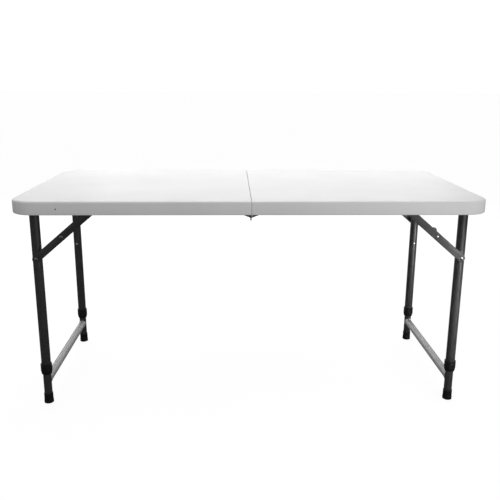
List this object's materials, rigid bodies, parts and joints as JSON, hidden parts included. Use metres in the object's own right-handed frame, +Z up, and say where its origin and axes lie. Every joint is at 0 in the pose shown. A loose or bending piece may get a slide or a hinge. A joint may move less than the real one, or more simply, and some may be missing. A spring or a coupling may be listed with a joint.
{
  "type": "folding table",
  "caption": "Fold-in-half table with a moulded rectangular top, deep rim and rounded corners, on two folding tubular leg frames with braces, crossbars and adjustable feet.",
  "frame": {"origin": "centre of the footprint, on the floor the feet stand on", "axes": "+X along the table's length towards its right end, +Y across its depth towards the far long edge, +Z up"},
  "size_m": [1.22, 0.61, 0.586],
  "materials": {
    "top_plastic": "fine pebbled texture",
    "dark_paint": "powder coat, satin",
    "grey_paint": "powder coat, satin",
    "black_plastic": "moulded, satin",
    "black_steel": "powder coat, satin",
    "zinc": "bright zinc plate"
  },
  "bodies": {
    "left_half": {"top_left": "top_plastic", "side_rail_left_near": "black_steel", "side_rail_left_far": "black_steel", "pivot_bracket_left_near": "black_steel", "pivot_bracket_left_far": "black_steel", "rail_rivet_left_near": "zinc", "rail_rivet_left_far": "zinc", "hinge_leaf_left_near": "black_steel", "hinge_leaf_left_far": "black_steel", "hinge_pin_near": "zinc", "hinge_pin_far": "zinc"},
    "right_half": {"top_right": "top_plastic", "side_rail_right_near": "black_steel", "side_rail_right_far": "black_steel", "pivot_bracket_right_near": "black_steel", "pivot_bracket_right_far": "black_steel", "rail_rivet_right_near": "zinc", "rail_rivet_right_far": "zinc", "hinge_leaf_right_near": "black_steel", "hinge_leaf_right_far": "black_steel"},
    "left_leg_frame": {"pivot_tube_left": "dark_paint", "outer_leg_left_near": "dark_paint", "outer_leg_left_far": "dark_paint", "collar_left_near": "black_plastic", "collar_left_far": "black_plastic", "leg_rivet_left_near": "zinc", "leg_rivet_left_far": "zinc"},
    "right_leg_frame": {"pivot_tube_right": "dark_paint", "outer_leg_right_near": "dark_paint", "outer_leg_right_far": "dark_paint", "collar_right_near": "black_plastic", "collar_right_far": "black_plastic", "leg_rivet_right_near": "zinc", "leg_rivet_right_far": "zinc"},
    "left_foot_frame": {"inner_leg_left_near": "dark_paint", "inner_leg_left_far": "dark_paint", "crossbar_left": "grey_paint", "foot_cap_left_near": "black_plastic", "foot_cap_left_far": "black_plastic"},
    "right_foot_frame": {"inner_leg_right_near": "dark_paint", "inner_leg_right_far": "dark_paint", "crossbar_right": "grey_paint", "foot_cap_right_near": "black_plastic", "foot_cap_right_far": "black_plastic"},
    "left_near_lower_link": {"lower_link_left_near": "dark_paint"},
    "left_far_lower_link": {"lower_link_left_far": "dark_paint"},
    "right_near_lower_link": {"lower_link_right_near": "dark_paint"},
    "right_far_lower_link": {"lower_link_right_far": "dark_paint"},
    "left_near_upper_link": {"upper_link_left_near": "dark_paint", "knee_rivet_left_near": "zinc"},
    "left_far_upper_link": {"upper_link_left_far": "dark_paint", "knee_rivet_left_far": "zinc"},
    "right_near_upper_link": {"upper_link_right_near": "dark_paint", "knee_rivet_right_near": "zinc"},
    "right_far_upper_link": {"upper_link_right_far": "dark_paint", "knee_rivet_right_far": "zinc"},
    "left_near_button": {"snap_button_left_near": "zinc"},
    "left_far_button": {"snap_button_left_far": "zinc"},
    "right_near_button": {"snap_button_right_near": "zinc"},
    "right_far_button": {"snap_button_right_far": "zinc"}
  },
  "joints": [
    {"name": "centre_fold", "type": "hinge", "parent": "left_half", "child": "right_half", "pos_m": [0, 0, 0.5395], "axis": [0, 1, 0], "range_deg": [0, 90]},
    {"name": "left_leg_fold", "type": "hinge", "parent": "left_half", "child": "left_leg_frame", "pos_m": [-0.566, 0, 0.556], "axis": [0, -1, 0], "range_deg": [0, 90]},
    {"name": "right_leg_fold", "type": "hinge", "parent": "right_half", "child": "right_leg_frame", "pos_m": [0.566, 0, 0.556], "axis": [0, 1, 0], "range_deg": [0, 90]},
    {"name": "left_height", "type": "slide", "parent": "left_leg_frame", "child": "left_foot_frame", "axis": [0, 0, 1], "range_m": [-0.157, 0]},
    {"name": "right_height", "type": "slide", "parent": "right_leg_frame", "child": "right_foot_frame", "axis": [0, 0, 1], "range_m": [-0.157, 0]},
    {"name": "left_near_lower_link_turn", "type": "hinge", "parent": "left_leg_frame", "child": "left_near_lower_link", "pos_m": [-0.566, -0.235, 0.42], "axis": [0, -1, 0], "range_deg": [0, 49.55]},
    {"name": "left_far_lower_link_turn", "type": "hinge", "parent": "left_leg_frame", "child": "left_far_lower_link", "pos_m": [-0.566, 0.235, 0.42], "axis": [0, -1, 0], "range_deg": [0, 49.55]},
    {"name": "right_near_lower_link_turn", "type": "hinge", "parent": "right_leg_frame", "child": "right_near_lower_link", "pos_m": [0.566, -0.235, 0.42], "axis": [0, 1, 0], "range_deg": [0, 49.55]},
    {"name": "right_far_lower_link_turn", "type": "hinge", "parent": "right_leg_frame", "child": "right_far_lower_link", "pos_m": [0.566, 0.235, 0.42], "axis": [0, 1, 0], "range_deg": [0, 49.55]},
    {"name": "left_near_upper_link_turn", "type": "hinge", "parent": "left_half", "child": "left_near_upper_link", "pos_m": [-0.4065, -0.2394, 0.556], "axis": [0, -1, 0], "range_deg": [-40.45, 0]},
    {"name": "left_far_upper_link_turn", "type": "hinge", "parent": "left_half", "child": "left_far_upper_link", "pos_m": [-0.4065, 0.2394, 0.556], "axis": [0, -1, 0], "range_deg": [-40.45, 0]},
    {"name": "right_near_upper_link_turn", "type": "hinge", "parent": "right_half", "child": "right_near_upper_link", "pos_m": [0.4065, -0.2394, 0.556], "axis": [0, 1, 0], "range_deg": [-40.45, 0]},
    {"name": "right_far_upper_link_turn", "type": "hinge", "parent": "right_half", "child": "right_far_upper_link", "pos_m": [0.4065, 0.2394, 0.556], "axis": [0, 1, 0], "range_deg": [-40.45, 0]},
    {"name": "left_near_button_press", "type": "slide", "parent": "left_leg_frame", "child": "left_near_button", "axis": [0, -1, 0], "range_m": [0, 0.0024], "stiffness_N_per_m": 1500},
    {"name": "left_far_button_press", "type": "slide", "parent": "left_leg_frame", "child": "left_far_button", "axis": [0, 1, 0], "range_m": [0, 0.0024], "stiffness_N_per_m": 1500},
    {"name": "right_near_button_press", "type": "slide", "parent": "right_leg_frame", "child": "right_near_button", "axis": [0, -1, 0], "range_m": [0, 0.0024], "stiffness_N_per_m": 1500},
    {"name": "right_far_button_press", "type": "slide", "parent": "right_leg_frame", "child": "right_far_button", "axis": [0, 1, 0], "range_m": [0, 0.0024], "stiffness_N_per_m": 1500}
  ],
  "couplings": [
    {"joint": "left_near_lower_link_turn", "follows": "left_leg_fold", "ratio": 0.55052},
    {"joint": "left_far_lower_link_turn", "follows": "left_leg_fold", "ratio": 0.55052},
    {"joint": "right_near_lower_link_turn", "follows": "right_leg_fold", "ratio": 0.55052},
    {"joint": "right_far_lower_link_turn", "follows": "right_leg_fold", "ratio": 0.55052},
    {"joint": "left_near_upper_link_turn", "follows": "left_leg_fold", "ratio": -0.44948},
    {"joint": "left_far_upper_link_turn", "follows": "left_leg_fold", "ratio": -0.44948},
    {"joint": "right_near_upper_link_turn", "follows": "right_leg_fold", "ratio": -0.44948},
    {"joint": "right_far_upper_link_turn", "follows": "right_leg_fold", "ratio": -0.44948}
  ]
}
